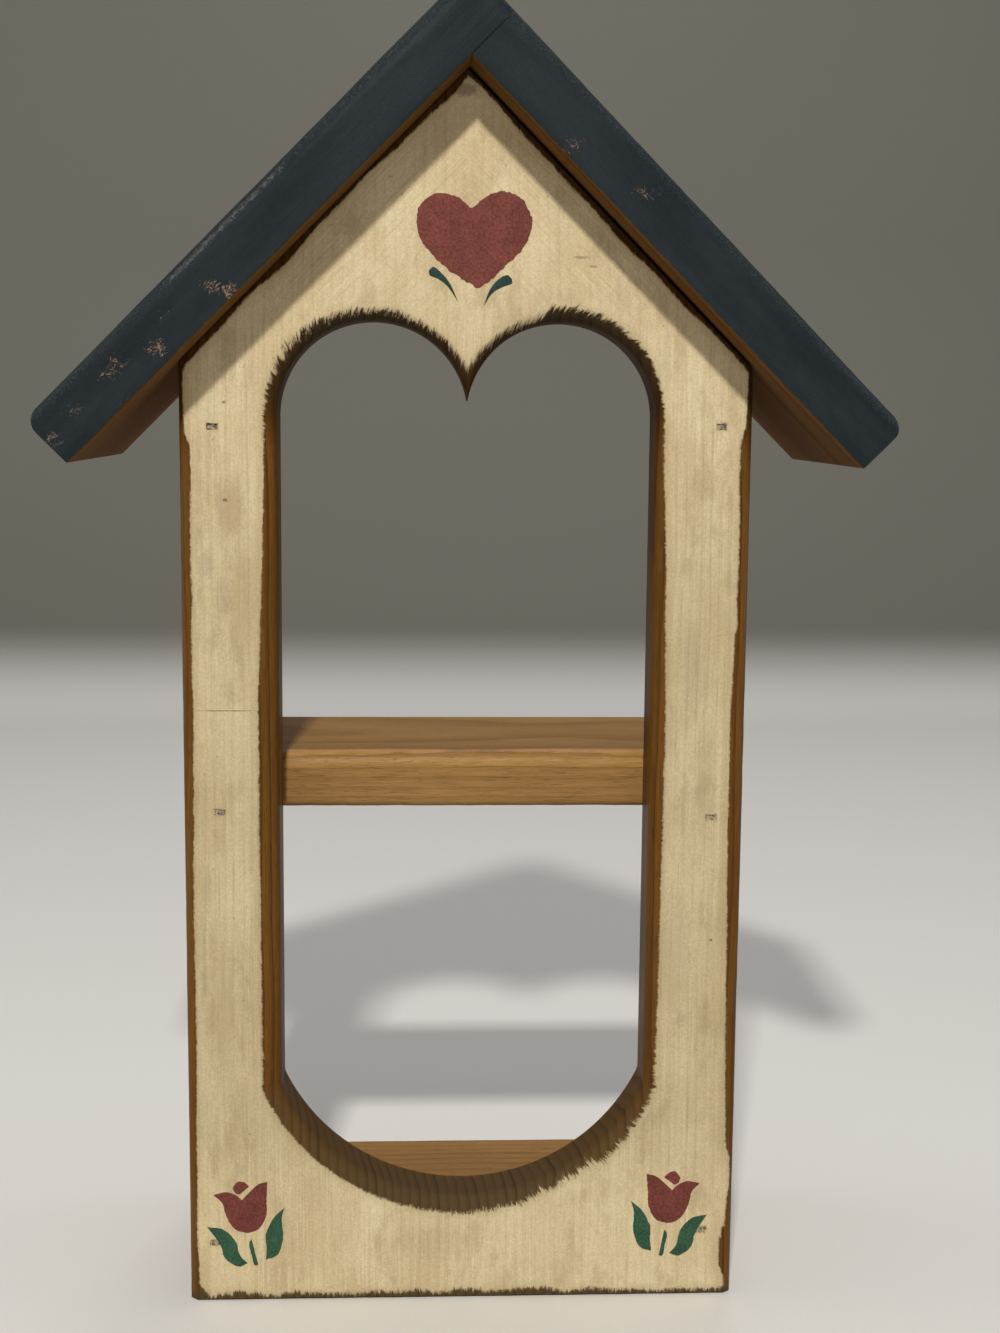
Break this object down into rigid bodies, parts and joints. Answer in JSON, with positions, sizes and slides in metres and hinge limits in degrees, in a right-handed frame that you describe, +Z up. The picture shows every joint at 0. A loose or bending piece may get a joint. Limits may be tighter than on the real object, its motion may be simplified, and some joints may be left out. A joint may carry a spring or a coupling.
{
  "type": "birdhouse display shelf",
  "caption": "House-fronted wooden display shelf, open at the back, with a gable roof, an arched window in its front, a middle shelf and a base board, nailed together.",
  "frame": {"origin": "on the surface that it stands on, at the middle of its overall width and depth", "axes": "+X to the right of someone facing the front, +Y from the front to the open back, +Z up"},
  "size_m": [0.2706, 0.1112, 0.4314],
  "materials": {
    "cream_front": "cream paint brushed over stained pine, dry and slightly worn, brown at the rounded edges",
    "stained_pine": "orange-brown stain and satin varnish on pine",
    "slate_roof": "slate-blue satin paint, scuffed through at the edges",
    "nail_steel": "bright steel brads, set and partly filled",
    "barn_red": "dusty red craft paint, stippled",
    "leaf_green": "green craft paint, flat brush marks"
  },
  "bodies": {
    "root": {"front_board": "cream_front", "left_side_board": "stained_pine", "right_side_board": "stained_pine", "middle_shelf": "stained_pine", "base_board": "stained_pine", "left_roof_board": "slate_roof", "right_roof_board": "slate_roof", "front_nails": "nail_steel", "shelf_nails": "nail_steel", "base_nails": "nail_steel", "roof_side_nails": "nail_steel", "roof_front_nails": "nail_steel", "ridge_nails": "nail_steel"}
  },
  "joints": []
}
